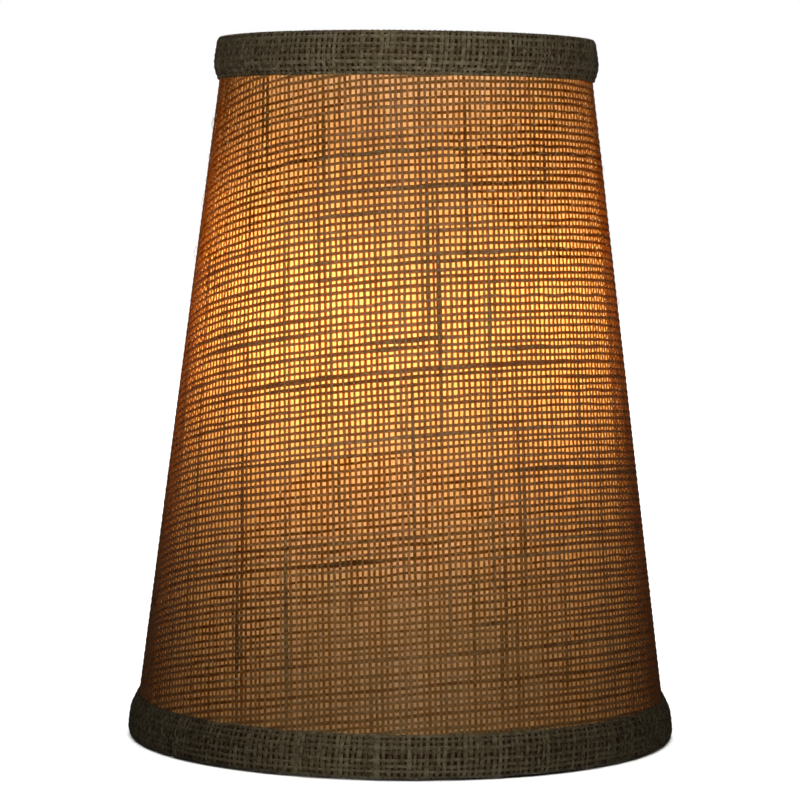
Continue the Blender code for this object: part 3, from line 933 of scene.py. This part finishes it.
def lamp():
    """The bulb's light: an even glow, and beams for the uneven part."""
    place = Vector((0.0, 0.0, LAMP_HEIGHT))
    glow = add_light("lamp_glow", "POINT", GLOW_POWER, LAMP_COLOR, place, shadow_soft_size=LAMP_RADIUS)
    glow.visible_camera = False
    for number, (azimuth, drop, spread, power) in enumerate(BEAMS):
        angle = math.radians(azimuth)
        aim = place + Vector((math.sin(angle), -math.cos(angle), -drop))
        beam = add_light(
            f"lamp_beam_{number + 1}", "SPOT", power, LAMP_COLOR, place, aim,
            shadow_soft_size=LAMP_RADIUS, spot_size=math.radians(spread), spot_blend=BEAM_BLEND,
        )
        beam.visible_camera = False


def surround():
    """A white world to the camera, a dim one to the object, and one that metal can mirror."""
    world = bpy.data.worlds.new("studio")
    bpy.context.scene.world = world
    world.use_nodes = True
    nodes, links = world.node_tree.nodes, world.node_tree.links
    nodes.clear()
    seen, dim, mirrored = (nodes.new("ShaderNodeBackground") for _ in range(3))
    levels = ((seen, WHITE, 1.0), (dim, WHITE, SURROUND_LIGHT), (mirrored, MIRRORED_COLOR, MIRRORED_LIGHT))
    for background, color, strength in levels:
        background.inputs["Color"].default_value = (*color, 1.0)
        background.inputs["Strength"].default_value = strength
    path = nodes.new("ShaderNodeLightPath")
    shader = dim.outputs[0]
    for ray, background in (("Is Glossy Ray", mirrored), ("Is Camera Ray", seen)):
        mix = nodes.new("ShaderNodeMixShader")
        links.new(path.outputs[ray], mix.inputs["Fac"])
        links.new(shader, mix.inputs[1])
        links.new(background.outputs[0], mix.inputs[2])
        shader = mix.outputs[0]
    output = nodes.new("ShaderNodeOutputWorld")
    links.new(shader, output.inputs["Surface"])


def pale_floor():
    """A floor with a light of its own, so that it stays pale and sends none of it to the object."""
    bpy.ops.mesh.primitive_plane_add(size=FLOOR_SIZE, location=(0.0, 0.0, 0.0))
    floor = bpy.context.object
    floor.name = "floor"
    pale = Finish("floor")
    shader = pale.node("BsdfPrincipled", {"Base Color": (*FLOOR_COLOR, 1.0), "Roughness": 0.8})
    floor.data.materials.append(pale.done(shader.outputs[0]))
    floor.visible_diffuse = False
    floor.visible_glossy = False
    floor.visible_transmission = False
    wash = add_light(
        "floor_wash", "SUN", FLOOR_WASH, WHITE, (0.0, 0.0, FLOOR_WASH_HEIGHT), (0.0, 0.0, 0.0),
        angle=FLOOR_WASH_ANGLE,
    )
    only_floor = bpy.data.collections.new("floor only")
    only_floor.objects.link(floor)
    wash.light_linking.receiver_collection = only_floor


def studio():
    lamp()
    size, size_y = STRIP_SIZE
    strip = {"shape": "RECTANGLE", "size": size, "size_y": size_y, "spread": STRIP_SPREAD}
    for name, y in (("front", -STRIP_DISTANCE), ("back", STRIP_DISTANCE)):
        place = (0.0, y, STRIP_HEIGHT)
        add_light(name, "AREA", STRIP_POWER, STRIP_COLOR, place, STRIP_AIM, **strip)
    surround()
    pale_floor()


def camera():
    data = bpy.data.cameras.new("camera")
    data.lens = CAMERA_LENS
    data.clip_end = CAMERA_REACH
    view = bpy.data.objects.new("camera", data)
    pitch = Matrix.Rotation(math.pi / 2 - CAMERA_PITCH, 4, "X")
    view.matrix_world = Matrix.Translation(CAMERA_PLACE) @ (pitch @ Matrix.Rotation(CAMERA_ROLL, 4, "Z"))
    bpy.context.scene.collection.objects.link(view)
    bpy.context.scene.camera = view


# ---------------------------------------------------------------- the object


def burlap_cover(cone, material):
    cover = burlap(cone, material)
    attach(cover, "shade")
    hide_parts("burlap_cover")
    slant = cone.reach(cone.low) - cone.reach(cone.high)
    area = math.pi * (cone.low_radius + cone.radius(cone.high)) * slant
    half_turn = math.pi * math.sin(cone.half_angle)
    width = 2 * cone.reach(cone.low) * math.sin(half_turn) + 2 * SEAM_HALF_WIDTH
    length = cone.reach(cone.low) - cone.reach(cone.high) * math.cos(half_turn)


def metal_pieces():
    """Metals on the CAD's own meshes, and smooth copies of the wires."""
    metals = {name: metal_finish(name, *look) for name, look in METALS.items()}
    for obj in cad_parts.values():
        for slot in obj.material_slots:
            name = slot.material.name.split(".")[0]
            if name in metals:
                slot.material = metals[name]
    for node, body, slot in WIRES:
        smooth_copy(node, metals[slot], body)


def main():
    camera()
    studio()
    bpy.context.scene.view_settings.view_transform = "Standard"
    cone = Cone()
    jute = yarn_finish("burlap", **JUTE)
    tape = yarn_finish("trim_cloth", **TAPE)
    backing = painted_shade_backing_finish()
    burlap_cover(cone, jute)
    stray_fibres(cone, jute)
    liner(cone, liner_finish())
    top = Tape(cone, "top_trim", "top_ring", 1.0, 0.0, TOP_TRIM_SEED)
    woven_trim(top, "top_trim", tape, backing)
    bottom = Tape(cone, "bottom_trim", "bottom_ring", 0.0, BOTTOM_CLEARANCE, BOTTOM_TRIM_SEED)
    woven_trim(bottom, "bottom_trim", tape, backing)
    metal_pieces()


main()
